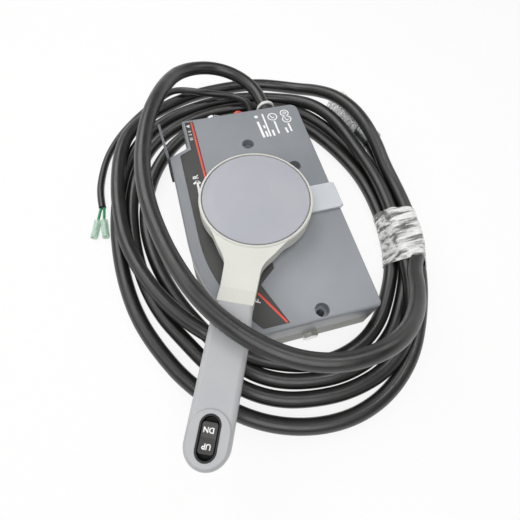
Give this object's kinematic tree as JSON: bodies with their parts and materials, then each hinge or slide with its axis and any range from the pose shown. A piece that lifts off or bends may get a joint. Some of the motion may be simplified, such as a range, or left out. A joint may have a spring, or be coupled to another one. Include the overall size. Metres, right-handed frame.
{
  "type": "boat throttle control lever",
  "caption": "Side-mount boat throttle and shift lever on a box with key switch, stop button, trim rocker and coiled wiring harness.",
  "frame": {"origin": "foot of the hub axis on the flat mounting back", "axes": "+Z out of the boat side towards the driver along the hub axis, +Y along the box to its aft end, +X to the lower edge of the mounted box"},
  "size_m": [0.3249, 0.4045, 0.0879],
  "materials": {
    "die_cast": "painted",
    "cover_grey": "moulded",
    "dial_dark": "printed",
    "lever_ivory": "satin",
    "trim_grey": "satin",
    "switch_dark": "satin",
    "band_blue_grey": "satin",
    "inner_plastic": "moulded",
    "steel": "zinc plated",
    "bush_brass": "turned",
    "chrome": "polished",
    "stop_red": "gloss",
    "harness_black": "soft sheen",
    "tie_white": "nylon",
    "clear_film": "clear, wrinkled",
    "sleeve_clear": "clear, greenish",
    "wire_colours": "wire sheath"
  },
  "bodies": {
    "housing": {"back_body": "die_cast", "front_cover": "cover_grey", "cover_screws": "steel", "dial_plate": "dial_dark", "cable_guard": "cover_grey", "front_bush": "bush_brass", "rear_bush": "bush_brass", "shift_axle": "steel", "throttle_axle": "steel", "detent_posts": "steel", "detent_spring": "steel", "neutral_switch": "inner_plastic", "key_switch": "inner_plastic", "key_bezel": "chrome", "stop_switch": "inner_plastic", "harness_grommet": "harness_black", "harness_tie": "tie_white", "aux_grommet": "harness_black", "harness_lead": "harness_black", "harness_coil": "harness_black", "coil_wrap": "clear_film", "harness_plug": "inner_plastic", "plug_wrap": "clear_film", "aux_lead": "harness_black", "aux_wires": "wire_colours", "bullet_sleeves": "sleeve_clear", "bullet_terminals": "bush_brass"},
    "lever": {"main_shaft": "steel", "drive_gear": "steel", "detent_plate": "steel", "lever_arm": "lever_ivory", "lever_cap": "trim_grey", "lever_bolt": "steel", "grip_front": "trim_grey", "grip_back": "trim_grey", "grip_screws": "steel", "trim_switch": "trim_grey"},
    "rocker": {"trim_rocker": "switch_dark"},
    "trigger": {"interlock_trigger": "switch_dark", "interlock_rod": "steel"},
    "neutral_throttle": {"neutral_throttle_lever": "band_blue_grey"},
    "shift": {"shift_sector": "steel", "shift_arm": "steel"},
    "throttle": {"throttle_sector": "steel", "throttle_arm": "steel"},
    "key": {"key_barrel": "chrome"},
    "stop": {"stop_button": "stop_red"},
    "friction": {"friction_screw": "steel"},
    "roller": {"detent_roller": "steel"}
  },
  "joints": [
    {"name": "lever_turn", "type": "hinge", "parent": "housing", "child": "lever", "pos_m": [0, 0, 0.045], "axis": [0, 0, 1], "range_deg": [-118, 36]},
    {"name": "shift_turn", "type": "hinge", "parent": "housing", "child": "shift", "pos_m": [-0.04835, 0.02825, 0.018], "axis": [0, 0, 1], "range_deg": [-14.4, 47.2]},
    {"name": "throttle_turn", "type": "hinge", "parent": "housing", "child": "throttle", "pos_m": [0.05151, -0.02197, 0.018], "axis": [0, 0, 1], "range_deg": [-14.4, 47.2]},
    {"name": "roller_turn", "type": "hinge", "parent": "housing", "child": "roller", "pos_m": [-0.01388, -0.02222, 0.023], "axis": [0, 0, 1], "range_deg": [-180, 180]},
    {"name": "neutral_throttle_turn", "type": "hinge", "parent": "housing", "child": "neutral_throttle", "pos_m": [0, 0, 0.0467], "axis": [0, 0, 1], "range_deg": [0, 70]},
    {"name": "rocker_tilt", "type": "hinge", "parent": "lever", "child": "rocker", "pos_m": [-0.07504, -0.16855, 0.066], "axis": [0.9135, -0.4067, 0], "range_deg": [-7, 7], "stiffness_Nm_per_rad": 0.3},
    {"name": "trigger_slide", "type": "slide", "parent": "lever", "child": "trigger", "axis": [-0.4067, -0.9135, 0], "range_m": [0, 0.007], "stiffness_N_per_m": 300},
    {"name": "key_turn", "type": "hinge", "parent": "housing", "child": "key", "pos_m": [-0.013, 0.12, 0.0335], "axis": [0, -1, 0], "range_deg": [0, 75]},
    {"name": "stop_press", "type": "slide", "parent": "housing", "child": "stop", "axis": [0, -1, 0], "range_m": [0, 0.0025], "stiffness_N_per_m": 600},
    {"name": "friction_turn", "type": "hinge", "parent": "housing", "child": "friction", "pos_m": [0.019, -0.111, 0.011], "axis": [0, 1, 0], "range_deg": [-180, 180]}
  ],
  "couplings": [
    {"joint": "shift_turn", "follows": "lever_turn", "ratio": -0.4},
    {"joint": "throttle_turn", "follows": "lever_turn", "ratio": -0.4}
  ]
}
